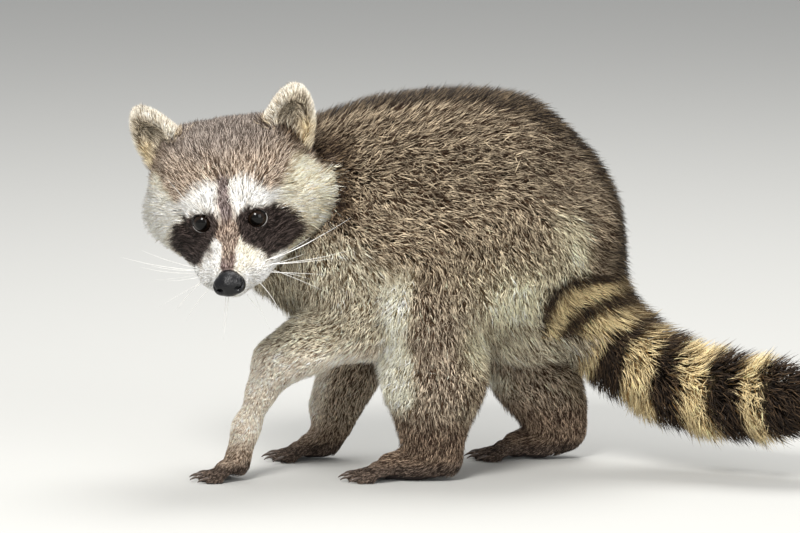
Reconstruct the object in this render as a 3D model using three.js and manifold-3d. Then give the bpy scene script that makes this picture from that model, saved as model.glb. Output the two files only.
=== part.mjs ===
// A young raccoon, life size, walking with its head turned to its left.
// Millimetres, +Z up, the floor at z = 0. The animal walks towards -X, so its left side faces -Y.
//
// The coat's surface is one smooth field: tapered masses laid along the skeleton and blended into each other.
// Each body part is the field's surface inside that part's sleeve, so neighbours meet at thin cuts.
import * as THREE from "three";
import { mergeVertices } from "three/addons/utils/BufferGeometryUtils.js";
import Module from "manifold-3d";

const wasm = await Module();
wasm.setup();
const vec = (x, y, z) => new THREE.Vector3(x, y, z);
const rad = THREE.MathUtils.degToRad;

// ---------------------------------------------------------------- driving dimensions
const GAP = 0.3; // clearance at each cut
const RIGHT = -1; // signs along the head frame's y
const LEFT = 1;
const SIDES = [
  [RIGHT, "right"],
  [LEFT, "left"],
];

// Centre lines as [x, y, z, coat radius].
const SPINE = [
  [-32, 0, 166, 74],
  [-10, 0, 166, 77],
  [30, 0, 165, 79],
  [58, 2, 152, 62],
];
const TAIL = [
  [76, 5, 124, 31],
  [97, 5, 99, 30],
  [122, 1, 76, 30],
  [149, -8, 60, 30],
  [181, -22, 53, 30],
  [213, -37, 52, 28],
  [242, -50, 54, 20],
];
const TAIL_END = vec(260.5, -58, 55.2);
const TRUNK_SLIM = 0.82; // a trunk section's width over its height

// The head's frame: x forwards to the nose, y to the animal's left, z up, from the point between the eyes.
const BROW = vec(-134, -88, 174.6);
const HEAD_TURN = rad(85.5); // to the animal's left, from straight ahead
const HEAD_DROP = rad(12.1); // nose below level
const HEAD_TILT = rad(9); // left side higher
const EYE = { radius: 7.6, side: 16.8, back: 5, opening: [7.5, 7.8, 7] };
const EYE_RISE = { left: -1.3, right: 0.4 };
const NOSE = { ahead: 41, side: -1, below: 28.3, radii: [6.5, 10.3, 8.4] };
const EAR = { length: 51, width: 33, thickness: 13, back: 46, side: 42.5, up: 43.6, taper: 0.2 };
const EAR_LEAN = { left: 0.36, right: 0.46 }; // outwards from upright

const CLAW = { length: 9, radius: 1.5 };

// ---------------------------------------------------------------- the field
// A mass runs from a to b with radii ra to rb. slim squeezes it across the body, in y.
const body = [];
const head = [];

function mass(owner, a, b, ra, rb, blend = 14, slim = 1) {
  owner.push({ a, b, ra, rb, blend, slim, along: b.clone().sub(a) });
}

function chain(owner, stations, blend, slim) {
  for (let i = 1; i < stations.length; i++) {
    const [ax, ay, az, ra] = stations[i - 1];
    const [bx, by, bz, rb] = stations[i];
    mass(owner, vec(ax, ay, az), vec(bx, by, bz), ra, rb, blend, slim);
  }
}

function massDistance(m, p) {
  const wide = 1 / m.slim;
  const x = p.x - m.a.x;
  const y = (p.y - m.a.y) * wide;
  const z = p.z - m.a.z;
  const u = m.along.x;
  const v = m.along.y * wide;
  const w = m.along.z;
  const square = u * u + v * v + w * w || 1;
  const t = THREE.MathUtils.clamp((x * u + y * v + z * w) / square, 0, 1);
  return Math.hypot(x - u * t, y - v * t, z - w * t) - (m.ra + (m.rb - m.ra) * t);
}

function smoothMin(a, b, k) {
  const h = THREE.MathUtils.clamp(0.5 + (0.5 * (a - b)) / k, 0, 1);
  return a * (1 - h) + b * h - k * h * (1 - h);
}

const depthIn = (masses, p) => masses.reduce((d, m) => smoothMin(d, massDistance(m, p), m.blend), 1e3);

// ---------------------------------------------------------------- trunk, neck and tail
chain(body, SPINE, 24, TRUNK_SLIM);
mass(body, vec(79, 4, 116), vec(56, 2, 112), 40, 46, 22, 0.9); // rump
mass(body, vec(-68, 0, 124), vec(-20, 0, 120), 38, 42, 20, 0.9); // breast and belly
chain(body, TAIL, 16);
mass(body, vec(-34, 0, 167), vec(-64, 0, 167), 71, 64, 20, 0.62); // shoulders
mass(body, vec(-62, -2, 186), vec(-96, -12, 188), 42, 37, 20, 0.85); // nape
mass(body, vec(-64, -2, 146), vec(-104, -14, 153), 42, 38, 20, 0.85); // throat
mass(body, vec(-96, -12, 176), vec(-126, -40, 186), 42, 38, 16);

// ---------------------------------------------------------------- head
const headTurn = new THREE.Matrix4()
  .makeRotationZ(Math.PI + HEAD_TURN)
  .multiply(new THREE.Matrix4().makeRotationY(HEAD_DROP))
  .multiply(new THREE.Matrix4().makeRotationX(HEAD_TILT));
const headFrame = new THREE.Matrix4().makeTranslation(BROW).multiply(headTurn);
const onHead = (x, y, z) => vec(x, y, z).applyMatrix4(headFrame);
const headWay = (x, y, z) => vec(x, y, z).applyMatrix4(headTurn).normalize();
const headAxes = [headWay(1, 0, 0), headWay(0, 1, 0), headWay(0, 0, 1)];

mass(head, onHead(-46, 0, 10), onHead(-38, 0, 12), 43, 43, 12); // cranium
mass(head, onHead(-58, 0, -8), onHead(-40, 0, -10), 42, 40, 12); // nape and jaw angle
mass(head, onHead(-14, 0, -14), onHead(29, 0, -26), 26, 12.5, 12); // muzzle
mass(head, onHead(-30, 0, -34), onHead(22, 0, -35), 20, 7.5, 10); // lower jaw
for (const side of [LEFT, RIGHT]) {
  mass(head, onHead(-56, 40 * side, -8), onHead(-31, 28 * side, -12), 25, 20, 14); // cheek ruff
  mass(head, onHead(-50, 34 * side, 18), onHead(-40, 32 * side, 6), 20, 20, 14); // temple
  mass(head, onHead(-46, 22 * side, 28), onHead(-36, 21 * side, 24), 25, 23, 8); // crown, beside the ear
  mass(head, onHead(-14, 21 * side, -23), onHead(17, 13 * side, -28), 12.5, 10.3, 8); // whisker pad
  mass(head, onHead(-7, 14 * side, 9), onHead(-24, 21 * side, 18), 10, 16, 10); // brow
}

// An ear is a flattened, tapering cup that faces forwards and outwards.
function earFrame(side, word) {
  const up = headWay(-0.08, EAR_LEAN[word] * side, 1);
  const face = headWay(1, 0.42 * side, 0);
  face.addScaledVector(up, -face.dot(up)).normalize();
  const across = vec().crossVectors(face, up);
  const centre = onHead(-EAR.back, EAR.side * side, EAR.up);
  return { centre, up, face, across, axes: [up, across, face] };
}

// ---------------------------------------------------------------- legs
// Stations run from the body to the wrist or ankle, and the paw's own run from there to the knuckles.
const LEGS = {
  foreleg_left: {
    thigh: [vec(-64, -30, 142), vec(-50, -38, 108), 34, 29],
    shank: [[-50, -41, 104, 25], [-86, -42, 88, 17.5], [-105, -42, 77, 13.5], [-115, -42, 58, 9]],
    paw: [[-115, -42, 57, 8.5], [-125, -42, 34, 8], [-131, -42, 11, 9]],
    toes: { heading: 172, length: 22, radius: 3.8, spread: 13, span: 17, lift: 7 },
  },
  foreleg_right: {
    thigh: [vec(-62, 30, 142), vec(-46, 37, 98), 34, 26],
    shank: [[-46, 38, 94, 24], [-60, 38, 56, 18.5], [-69, 38, 34, 14], [-71, 38, 22, 10]],
    paw: [[-70, 38, 22, 10], [-76, 38, 11, 9], [-86, 38, 8, 8.5]],
    toes: { heading: 178, length: 22, radius: 3.8, spread: 13, span: 17, lift: 5 },
  },
  hindleg_left: {
    thigh: [vec(46, -32, 150), vec(-4, -40, 120), 46, 38],
    shank: [[-6, -42, 112, 36], [-4, -42, 66, 34], [-5, -41, 32, 20], [-3, -40, 18, 14]],
    paw: [[2, -40, 12.5, 12], [-16, -40, 10, 10.5], [-32, -41, 8.5, 9.5]],
    toes: { heading: 176, length: 25, radius: 4, spread: 9, span: 20, lift: 5 },
  },
  hindleg_right: {
    thigh: [vec(50, 32, 148), vec(38, 41, 98), 46, 36],
    shank: [[36, 42, 94, 33], [64, 42, 54, 28], [76, 42, 30, 19], [80, 41, 20, 13]],
    paw: [[82, 41, 18, 12], [66, 41, 11, 10.5], [50, 41, 8.5, 9.5]],
    toes: { heading: 177, length: 25, radius: 4, spread: 9, span: 20, lift: 5 },
  },
};
const LIMB_SLIM = 0.88;
for (const leg of Object.values(LEGS)) {
  mass(body, ...leg.thigh, 22, LIMB_SLIM);
  chain(body, leg.shank, 14, LIMB_SLIM);
  chain(body, leg.paw, 8);
}

// ---------------------------------------------------------------- from field to solid
function solidOf(geometry) {
  const bare = geometry.clone();
  bare.deleteAttribute("normal");
  bare.deleteAttribute("uv");
  const merged = mergeVertices(bare, 1e-3);
  const all = [...merged.index.array];
  const kept = [];
  for (let i = 0; i < all.length; i += 3) {
    const [a, b, c] = all.slice(i, i + 3);
    if (a !== b && b !== c && c !== a) kept.push(a, b, c);
  }
  return new wasm.Manifold(
    new wasm.Mesh({
      numProp: 3,
      vertProperties: merged.attributes.position.array,
      triVerts: new Uint32Array(kept),
    }),
  );
}

// A closed solid of rings round a curve. radiusAt(t, place, out) is a ring point's distance from the curve.
// An ease over 1 crowds the rings towards the far end, for a round tip.
function sweep(curve, radiusAt, rings, sides, ease = 1) {
  const points = [curve.getPoint(0)];
  const steps = ease > 1 ? rings + 1 : rings;
  let normal = Math.abs(curve.getTangent(0).z) > 0.8 ? vec(1, 0, 0) : vec(0, 0, 1);
  for (let i = 0; i <= rings; i++) {
    const t = 1 - (1 - i / steps) ** ease;
    const place = curve.getPointAt(t);
    const along = curve.getTangentAt(t);
    normal = normal.clone().addScaledVector(along, -normal.dot(along)).normalize();
    const across = vec().crossVectors(along, normal);
    for (let s = 0; s < sides; s++) {
      const turn = (2 * Math.PI * s) / sides;
      const out = normal.clone().multiplyScalar(Math.cos(turn)).addScaledVector(across, Math.sin(turn));
      points.push(place.clone().addScaledVector(out, radiusAt(t, place, out)));
    }
  }
  points.push(curve.getPoint(1));
  const last = points.length - 1;
  const faces = [];
  for (let s = 0; s < sides; s++) {
    const next = (s + 1) % sides;
    faces.push(0, 1 + next, 1 + s);
    for (let i = 0; i < rings; i++) {
      const [a, b] = [1 + i * sides + s, 1 + i * sides + next];
      faces.push(a, b, b + sides, a, b + sides, a + sides);
    }
    faces.push(last, last - sides + s, last - sides + next);
  }
  const geometry = new THREE.BufferGeometry().setFromPoints(points);
  geometry.setIndex(faces);
  return solidOf(geometry);
}

// How far the masses reach from a point inside them, along a way, up to a limit.
function reachOf(masses, from, way, limit) {
  let far = 0;
  let depth = depthIn(masses, from);
  while (depth < -0.02 && far < limit) {
    far += Math.max(-0.8 * depth, 0.02);
    depth = depthIn(masses, from.clone().addScaledVector(way, far));
  }
  return THREE.MathUtils.clamp(far, 0.2, limit);
}

// A body part lies round its own line: out to the coat's surface, or to its sleeve where it meets the body.
// The sleeve's radii are spread evenly along the line.
// The part's space is the whole sleeve, widened by the gap.
function limb(points, sleeve, rings, sides, ease = 1) {
  const curve = new THREE.CatmullRomCurve3(points);
  const limit = (t) => {
    const place = t * (sleeve.length - 1);
    const i = Math.min(Math.floor(place), sleeve.length - 2);
    return THREE.MathUtils.lerp(sleeve[i], sleeve[i + 1], place - i);
  };
  const longer = new THREE.CatmullRomCurve3([
    points[0].clone().addScaledVector(curve.getTangent(0), -GAP),
    ...points.slice(1, -1),
    points[points.length - 1].clone().addScaledVector(curve.getTangent(1), GAP),
  ]);
  return {
    solid: sweep(curve, (t, place, out) => reachOf(body, place, out, limit(t)), rings, sides, ease),
    space: sweep(longer, (t) => (limit(t) + GAP) / Math.cos(Math.PI / 12), rings + 3, 12),
  };
}

// A stretched ball. A taper makes it narrower in v towards the end that u points at.
function ball(centre, axes, radii, grow = 0, sides = 12, taper = 0) {
  const geometry = new THREE.SphereGeometry(1, sides, Math.round(0.6 * sides));
  const { position } = geometry.attributes;
  for (let i = 0; i < position.count; i += 1) {
    position.setY(i, position.getY(i) * (1 - taper * position.getX(i)));
  }
  const [u, v, w] = axes.map((axis, i) => axis.clone().multiplyScalar(radii[i] + grow));
  geometry.applyMatrix4(new THREE.Matrix4().makeBasis(u, v, w).setPosition(centre));
  return solidOf(geometry);
}

function boxAround(x0, x1, y0, y1, z0, z1) {
  const geometry = new THREE.BoxGeometry(x1 - x0, y1 - y0, z1 - z0);
  geometry.translate((x0 + x1) / 2, (y0 + y1) / 2, (z0 + z1) / 2);
  return solidOf(geometry);
}

const stationPoint = (station) => vec(station[0], station[1], station[2]);

// ---------------------------------------------------------------- toes and claws
// Five toes fan out from a paw's last station; each ends in a claw.
function toesOf(leg) {
  const [x, y, z] = leg.paw[leg.paw.length - 1];
  const { heading, length, radius, spread, span, lift } = leg.toes;
  return [-2, -1, 0, 1, 2].map((place) => {
    const turn = rad(heading + place * spread);
    const ahead = vec(Math.cos(turn), Math.sin(turn), 0);
    const across = vec(-Math.sin(rad(heading)), Math.cos(rad(heading)), 0);
    const reach = length * (1 - 0.07 * place * place);
    const root = vec(x, y, z).addScaledVector(across, (place * span) / 4);
    const low = 0.4 * radius; // the pad is pressed flat on the floor
    const path = new THREE.CatmullRomCurve3([
      vec(root.x, root.y, Math.max(z, low + 1)),
      root.clone().addScaledVector(ahead, 0.4 * reach).setZ(low + lift),
      root.clone().addScaledVector(ahead, 0.75 * reach).setZ(low + 0.5),
      root.clone().addScaledVector(ahead, reach).setZ(low),
    ]);
    const tip = path.getPoint(1);
    const nail = new THREE.QuadraticBezierCurve3(
      tip.clone().addScaledVector(ahead, -3).setZ(tip.z + 1),
      tip.clone().addScaledVector(ahead, 0.55 * CLAW.length).setZ(tip.z + 3.2),
      tip.clone().addScaledVector(ahead, CLAW.length).setZ(CLAW.radius),
    );
    return { path, nail, radius };
  });
}

const toeSolid = (toe) => sweep(toe.path, (t) => toe.radius * (t < 0.95 ? 1 - 0.12 * t : 0.62), 3, 5);
const clawSolid = (toe, grow = 0) => sweep(toe.nail, (t) => CLAW.radius * (1 - 0.8 * t * t) + grow, 3, 4);

// ---------------------------------------------------------------- looks
const look = (color, roughness) => new THREE.MeshStandardMaterial({ color, roughness, metalness: 0 });
const LOOKS = {
  eye: () => look(0x120d0a, 0.08),
  nose: () => look(0x1c1a1b, 0.35),
  claw: () => look(0x3b2e26, 0.45),
  face: () => look(0xb0a391, 0.95),
  ear: () => look(0xc9bea8, 0.95),
  back: () => look(0x7d6f5f, 0.95),
  tail: () => look(0x6d5a42, 0.95),
  leg: () => look(0x64554a, 0.95),
  paw: () => look(0x8a7263, 0.85),
};

// ---------------------------------------------------------------- the parts, in order of their claims
const taken = []; // every earlier part's space, widened by the gap
const floor = boxAround(-400, 400, -300, 300, -60, 0);
const animal = new THREE.Group();
const regions = {};

function meshOf(name, solid, material) {
  const { vertProperties, triVerts } = solid.getMesh();
  const geometry = new THREE.BufferGeometry();
  geometry.setAttribute("position", new THREE.BufferAttribute(new Float32Array(vertProperties), 3));
  geometry.setIndex(new THREE.BufferAttribute(new Uint32Array(triVerts), 1));
  geometry.computeVertexNormals();
  const mesh = new THREE.Mesh(geometry, material);
  mesh.name = name;
  return mesh;
}

function claim(region, name, kind, { solid, space }) {
  const free = taken.reduce((left, other) => left.subtract(other), solid).subtract(floor);
  if (!regions[region]) animal.add((regions[region] = new THREE.Group()));
  regions[region].add(meshOf(name, free, LOOKS[kind]()));
  taken.push(space);
}

function makeEyes() {
  for (const [side, word] of SIDES) {
    const middle = onHead(-EYE.back, EYE.side * side, EYE_RISE[word]);
    const globe = (grow) => ball(middle, headAxes, Array(3).fill(EYE.radius), grow);
    claim("head", `eye_${word}`, "eye", { solid: globe(0), space: globe(GAP) });
    taken.push(ball(onHead(7.5 - EYE.back, (EYE.side + 1.5) * side, EYE_RISE[word]), headAxes, EYE.opening));
  }
}

function makeNose() {
  const pad = (grow) => ball(onHead(NOSE.ahead, NOSE.side, -NOSE.below), headAxes, NOSE.radii, grow);
  const hole = (side) => onHead(NOSE.ahead + 6, NOSE.side + 5.6 * side, -NOSE.below - 1.5);
  const nostril = (side) => ball(hole(side), headAxes, [3.4, 2.2, 2], 0, 7);
  const pierced = pad(0).subtract(nostril(LEFT)).subtract(nostril(RIGHT));
  claim("head", "nose_pad", "nose", { solid: pierced, space: pad(GAP) });
}

function makeSkull() {
  const muzzleTip = onHead(NOSE.ahead - 0.5, 0, -NOSE.below);
  const line = [onHead(-88, 0, -2), onHead(-50, 0, 3), onHead(-12, 0, -8), onHead(18, 0, -24), muzzleTip];
  const curve = new THREE.CatmullRomCurve3(line);
  const skull = (grow) => sweep(curve, (t, place, out) => reachOf(head, place, out, 90) + grow, 15, 20, 1.3);
  claim("head", "head", "face", { solid: skull(0), space: skull(GAP) });
}

function makeEars() {
  for (const [side, word] of SIDES) {
    const { centre, face, up, axes } = earFrame(side, word);
    const cup = centre.clone().addScaledVector(face, 0.62 * EAR.thickness).addScaledVector(up, -3);
    const leaf = [EAR.length / 2, EAR.width / 2, EAR.thickness / 2];
    const bowl = [0.36 * EAR.length, 0.33 * EAR.width, 0.62 * EAR.thickness];
    const shell = (grow) => ball(centre, axes, leaf, grow, 14, EAR.taper);
    const hollow = ball(cup, axes, bowl, 0, 12, EAR.taper);
    claim("head", `ear_${word}`, "ear", { solid: shell(0).subtract(hollow), space: shell(GAP) });
  }
}

// Each length's line runs a little way into the neighbour that is already there, which cuts it.
function makeTail() {
  const at = (i, share = 0) => {
    const next = TAIL[Math.min(i + 1, TAIL.length - 1)];
    return stationPoint(TAIL[i]).lerp(stationPoint(next), share);
  };
  claim("tail", "tail_tip", "tail", limb([at(4), at(5), at(6), TAIL_END], [38, 38], 7, 13, 1.5));
  claim("tail", "tail_middle", "tail", limb([at(2, 0.4), at(3, 0.3), at(4, 0.3)], [40, 38], 4, 13));
  claim("tail", "tail_base", "tail", limb([at(1, 0.2), at(1, 0.8), at(2, 0.8)], [42, 40], 4, 13));
}

function makeLeg(name, leg) {
  const [end, word] = name.split("leg_"); // fore or hind, left or right
  const hind = end === "hind";
  const toes = toesOf(leg);
  toes.forEach((toe, i) => {
    const claw = { solid: clawSolid(toe), space: clawSolid(toe, GAP) };
    claim(name, `claw_${end}_${word}_${i + 1}`, "claw", claw);
  });

  const [wrist, palm, knuckle] = leg.paw.map(stationPoint);
  if (hind) wrist.x += 0.75 * leg.paw[0][3]; // the heel's back
  const past = knuckle.clone().lerp(palm, -0.35);
  const paw = limb([wrist, palm, knuckle, past], hind ? [15, 14] : [13, 13], 4, 9);
  paw.solid = toes.reduce((all, toe) => all.add(toeSolid(toe)), paw.solid);
  claim(name, `${hind ? "hindfoot" : "forepaw"}_${word}`, "paw", paw);

  const top = leg.thigh[1].clone().lerp(leg.thigh[0], hind ? 0 : 0.5);
  const line = [top, ...leg.shank.slice(1).map(stationPoint)];
  claim(name, name, "leg", limb(line, hind ? [51, 50, 42, 25] : [43, 40, 28, 16], 9, 12));
}

function makeTrunk() {
  const nape = [vec(-66, 0, 162), vec(-95, -8, 168), vec(-125, -30, 179)];
  const rump = stationPoint(TAIL[1]).lerp(stationPoint(TAIL[2]), 0.7);
  const spine = [vec(-92, 0, 166), vec(-20, 0, 161), vec(30, 0, 156), vec(72, 3, 130), rump];
  claim("body", "neck", "back", limb(nape, [100, 80], 4, 18));
  claim("body", "trunk", "back", limb(spine, [95, 95], 13, 20));
}

makeEyes();
makeNose();
makeSkull();
makeEars();
makeTail();
for (const [name, leg] of Object.entries(LEGS)) makeLeg(name, leg);
makeTrunk();

// ---------------------------------------------------------------- the model, its origin under its middle
const middle = new THREE.Box3().setFromObject(animal).getCenter(vec());
animal.position.set(-middle.x, -middle.y, 0);
const model = new THREE.Group();
model.add(animal);
export default model;
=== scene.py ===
"""A young raccoon in its coat, life size: one skin, a coat of solid tufts, eyes, nose, claws and whiskers.

Lengths are millimetres in the skeleton's frame: +Z up, the floor at z = 0, the animal walking towards -X.
to_frame() turns them into the row's frame, in metres.
"""

import math

import bmesh
import bpy
import numpy as np
import openvdb
from mathutils import Matrix, Vector
from mathutils.kdtree import KDTree


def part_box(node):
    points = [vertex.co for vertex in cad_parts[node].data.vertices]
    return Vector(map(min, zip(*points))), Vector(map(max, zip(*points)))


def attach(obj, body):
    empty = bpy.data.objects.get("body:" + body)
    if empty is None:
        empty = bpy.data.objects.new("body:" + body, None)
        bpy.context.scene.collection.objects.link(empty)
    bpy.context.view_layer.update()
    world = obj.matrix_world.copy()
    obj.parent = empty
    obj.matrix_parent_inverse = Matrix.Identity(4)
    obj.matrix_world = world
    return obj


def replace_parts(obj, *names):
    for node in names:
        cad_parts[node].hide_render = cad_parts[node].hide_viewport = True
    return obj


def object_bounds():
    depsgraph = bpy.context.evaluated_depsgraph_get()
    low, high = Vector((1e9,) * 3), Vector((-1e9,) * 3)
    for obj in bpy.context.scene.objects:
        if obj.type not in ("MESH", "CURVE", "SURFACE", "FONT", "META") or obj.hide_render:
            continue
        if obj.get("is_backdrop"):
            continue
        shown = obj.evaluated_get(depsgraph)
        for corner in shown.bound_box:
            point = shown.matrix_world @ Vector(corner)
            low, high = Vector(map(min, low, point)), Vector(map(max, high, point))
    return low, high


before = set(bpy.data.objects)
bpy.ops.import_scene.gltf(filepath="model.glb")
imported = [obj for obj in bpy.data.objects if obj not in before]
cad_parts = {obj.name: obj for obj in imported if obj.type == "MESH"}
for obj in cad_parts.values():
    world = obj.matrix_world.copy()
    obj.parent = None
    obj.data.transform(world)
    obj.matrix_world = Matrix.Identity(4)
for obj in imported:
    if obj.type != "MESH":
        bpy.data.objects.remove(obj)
CAD_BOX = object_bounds()
RANDOM = np.random.default_rng(7)

# ---------------- measures
RIGHT, LEFT = -1, 1  # signs along the head frame's y
SIDES = ((RIGHT, "right"), (LEFT, "left"))

# Centre lines as (x, y, z, coat radius, coat depth).
SPINE = [(-32, 0, 166, 74, 14), (-10, 0, 166, 77, 14), (30, 0, 165, 79, 15), (58, 2, 152, 62, 15)]
TAIL = [
    (76, 5, 124, 31, 17),
    (97, 5, 99, 30, 18),
    (122, 1, 76, 30, 19),
    (149, -8, 60, 30, 19),
    (181, -22, 53, 30, 20),
    (213, -37, 52, 28, 20),
    (242, -50, 54, 20, 15),
]
TRUNK_SLIM = 0.82  # a trunk section's width over its height
LIMB_SLIM = 0.88

# The head's frame: x forwards to the nose, y to the animal's left, z up, from the point between the eyes.
BROW = np.array([-134.0, -88.0, 174.6])
HEAD_TURN = math.radians(85.5)
HEAD_DROP = math.radians(12.1)
HEAD_TILT = math.radians(9)
EYE_RADIUS, EYE_SIDE, EYE_BACK = 7.6, 16.8, 5.0
EYE_RISE = {LEFT: -1.3, RIGHT: 0.4}
LID_THICKNESS = 1.1
LID_OPENING = (7.0, 6.5)  # half its width and height
NOSE_AT = (41, -1, -28.3)
EAR_SIZE = np.array([51.0, 33, 13])  # length, width and thickness
EAR_BACK, EAR_SIDE, EAR_UP = 46, 42.5, 43.6
EAR_COAT = 1.5
EAR_TAPER = 0.2  # how much narrower an ear is towards its tip
EAR_LEAN = {LEFT: 0.36, RIGHT: 0.46}  # outwards from upright
CLAW_LENGTH, CLAW_RADIUS = 9, 1.5

FORE_TOES = {"length": 22, "radius": 3.8, "spread": 13, "span": 17}
HIND_TOES = {"length": 25, "radius": 4, "spread": 9, "span": 20}
# Thighs are (start, end, radii, coat depths). Shanks and paws are centre lines like the spine. A toe's
# heading and spread are in degrees.
LEGS = {
    "foreleg_left": {
        "thigh": ((-64, -30, 142), (-50, -38, 108), (34, 29), (12, 10)),
        "shank": [
            (-50, -41, 104, 25, 9), (-86, -42, 88, 17.5, 5),
            (-105, -42, 77, 13.5, 3), (-115, -42, 58, 9, 2),
        ],
        "paw": [(-115, -42, 57, 8.5, 1.8), (-125, -42, 34, 8, 1.6), (-131, -42, 11, 9, 1.6)],
        "toes": {**FORE_TOES, "heading": 172, "lift": 7},
    },
    "foreleg_right": {
        "thigh": ((-62, 30, 142), (-46, 37, 98), (34, 26), (12, 9)),
        "shank": [
            (-46, 38, 94, 24, 8), (-60, 38, 56, 18.5, 5),
            (-69, 38, 34, 14, 3), (-71, 38, 22, 10, 2),
        ],
        "paw": [(-70, 38, 22, 10, 1.8), (-76, 38, 11, 9, 1.6), (-86, 38, 8, 8.5, 1.6)],
        "toes": {**FORE_TOES, "heading": 178, "lift": 5},
    },
    "hindleg_left": {
        "thigh": ((46, -32, 150), (-4, -40, 120), (46, 38), (13, 12)),
        "shank": [
            (-6, -42, 112, 36, 12), (-4, -42, 66, 34, 11),
            (-5, -41, 32, 20, 6), (-3, -40, 18, 14, 3),
        ],
        "paw": [(2, -40, 12.5, 12, 2), (-16, -40, 10, 10.5, 1.8), (-32, -41, 8.5, 9.5, 1.6)],
        "toes": {**HIND_TOES, "heading": 176, "lift": 5},
    },
    "hindleg_right": {
        "thigh": ((50, 32, 148), (38, 41, 98), (46, 36), (13, 12)),
        "shank": [
            (36, 42, 94, 33, 11), (64, 42, 54, 28, 9),
            (76, 42, 30, 19, 5), (80, 41, 20, 13, 3),
        ],
        "paw": [(82, 41, 18, 12, 2), (66, 41, 11, 10.5, 1.8), (50, 41, 8.5, 9.5, 1.6)],
        "toes": {**HIND_TOES, "heading": 177, "lift": 5},
    },
}


# ---------------- small helpers
def add_object(name, data):
    thing = bpy.data.objects.new(name, data)
    bpy.context.scene.collection.objects.link(thing)
    return thing


def values_of(items, field, kind=float):
    """A field of three values for every item of a mesh, as an array."""
    flat = np.empty(len(items) * 3, kind)
    items.foreach_get(field, flat)
    return flat.reshape(-1, 3)


def places(mesh):
    return values_of(mesh.vertices, "co")


def triangles_of(mesh):
    return values_of(mesh.polygons, "vertices", int)


def unit(v):
    v = np.asarray(v, float)
    return v / np.maximum(np.linalg.norm(v, axis=-1, keepdims=True), 1e-9)


def lengths(vectors):
    return np.linalg.norm(vectors, axis=-1)


def dot(a, b):
    return (a * b).sum(axis=-1, keepdims=True)


def step(x, low, high):
    """0 below low, 1 above high, and smooth between; low may be the larger."""
    t = np.clip((x - low) / (high - low), 0, 1)
    return t * t * (3 - 2 * t)


def smooth_min(a, b, k):
    h = np.clip(0.5 + 0.5 * (a - b) / k, 0, 1)
    return a * (1 - h) + b * h - k * h * (1 - h)


def smooth_max(a, b, k):
    return -smooth_min(-a, -b, k)


def off_path(points, path):
    """How far each point is from a path of straight lines."""
    away = []
    for a, b in zip(path, path[1:]):
        along = np.subtract(b, a)
        t = np.clip((points - a) @ along / (along @ along), 0, 1)
        away.append(lengths(points - a - t[:, None] * along))
    return np.min(away, axis=0)


def wander(points, size, seed):
    """Smooth noise of about -1 to 1, whose lumps are about size across."""
    rng = np.random.default_rng(seed)
    total = np.zeros(len(points))
    for _ in range(6):
        wave = unit(rng.normal(size=3)) * rng.uniform(0.6, 1.5) * math.pi / size
        total += np.sin(points @ wave + rng.uniform(0, 2 * math.pi))
    return total / 2.6


def rotation(axis, angle):
    return np.array(Matrix.Rotation(angle, 3, axis))


HEAD_AXES = rotation("Z", math.pi + HEAD_TURN) @ rotation("Y", HEAD_DROP) @ rotation("X", HEAD_TILT)


def on_head(x, y, z):
    return BROW + HEAD_AXES @ np.array([x, y, z], float)


def head_way(x, y, z):
    return unit(HEAD_AXES @ np.array([x, y, z], float))


def in_head(points):
    return (points - BROW) @ HEAD_AXES


# The row's origin in the skeleton's frame: an eye's box has the eye's centre as its middle.
EYE_BOX = np.array(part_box("eye_left"))
ORIGIN = on_head(-EYE_BACK, EYE_SIDE * LEFT, EYE_RISE[LEFT]) - EYE_BOX.mean(axis=0) * 1000
ORIGIN[2] = 0


def to_frame(points):
    return (np.asarray(points, float) - ORIGIN) / 1000


# ---------------- the masses of flesh and coat
FAR = 60.0  # the field's value where no mass reaches


class Mass:
    """A tapered capsule from a to b. Its radii reach the coat's tips, and its coat depths lie inside them.

    slim squeezes it across the body, in y. lie is the way its hair points.
    """

    def __init__(self, part, a, b, radii, coat, blend=14, slim=1.0, lie=None):
        self.part, self.blend = part, blend
        self.a, self.b = np.array(a, float), np.array(b, float)
        self.radii, self.coat = radii, coat
        self.wide = np.array([1, 1 / slim, 1])
        self.lie = unit(self.b - self.a if lie is None else lie)
        reach = max(radii) + 30
        self.low = np.minimum(self.a, self.b) - reach
        self.high = np.maximum(self.a, self.b) + reach

    def near(self, points):
        return np.flatnonzero(((points > self.low) & (points < self.high)).all(axis=1))

    def distance(self, points, bare):
        along = (self.b - self.a) * self.wide
        off = (points - self.a) * self.wide
        t = np.clip(off @ along / max(along @ along, 1e-9), 0, 1)
        start = self.radii[0] - bare * self.coat[0]
        end = self.radii[1] - bare * self.coat[1]
        return lengths(off - t[:, None] * along) - (start + (end - start) * t)


BODY, HEAD, TOES = [], [], []


def chain(owner, part, stations, blend, slim=1.0, lie=None, droop=0.0):
    """Adds a mass between each station and the next. droop turns its hair down."""
    for (*a, ra, ca), (*b, rb, cb) in zip(stations, stations[1:]):
        owner.append(Mass(part, a, b, (ra, rb), (ca, cb), blend, slim, lie))
        owner[-1].lie = unit(owner[-1].lie - (0, 0, droop))


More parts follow.
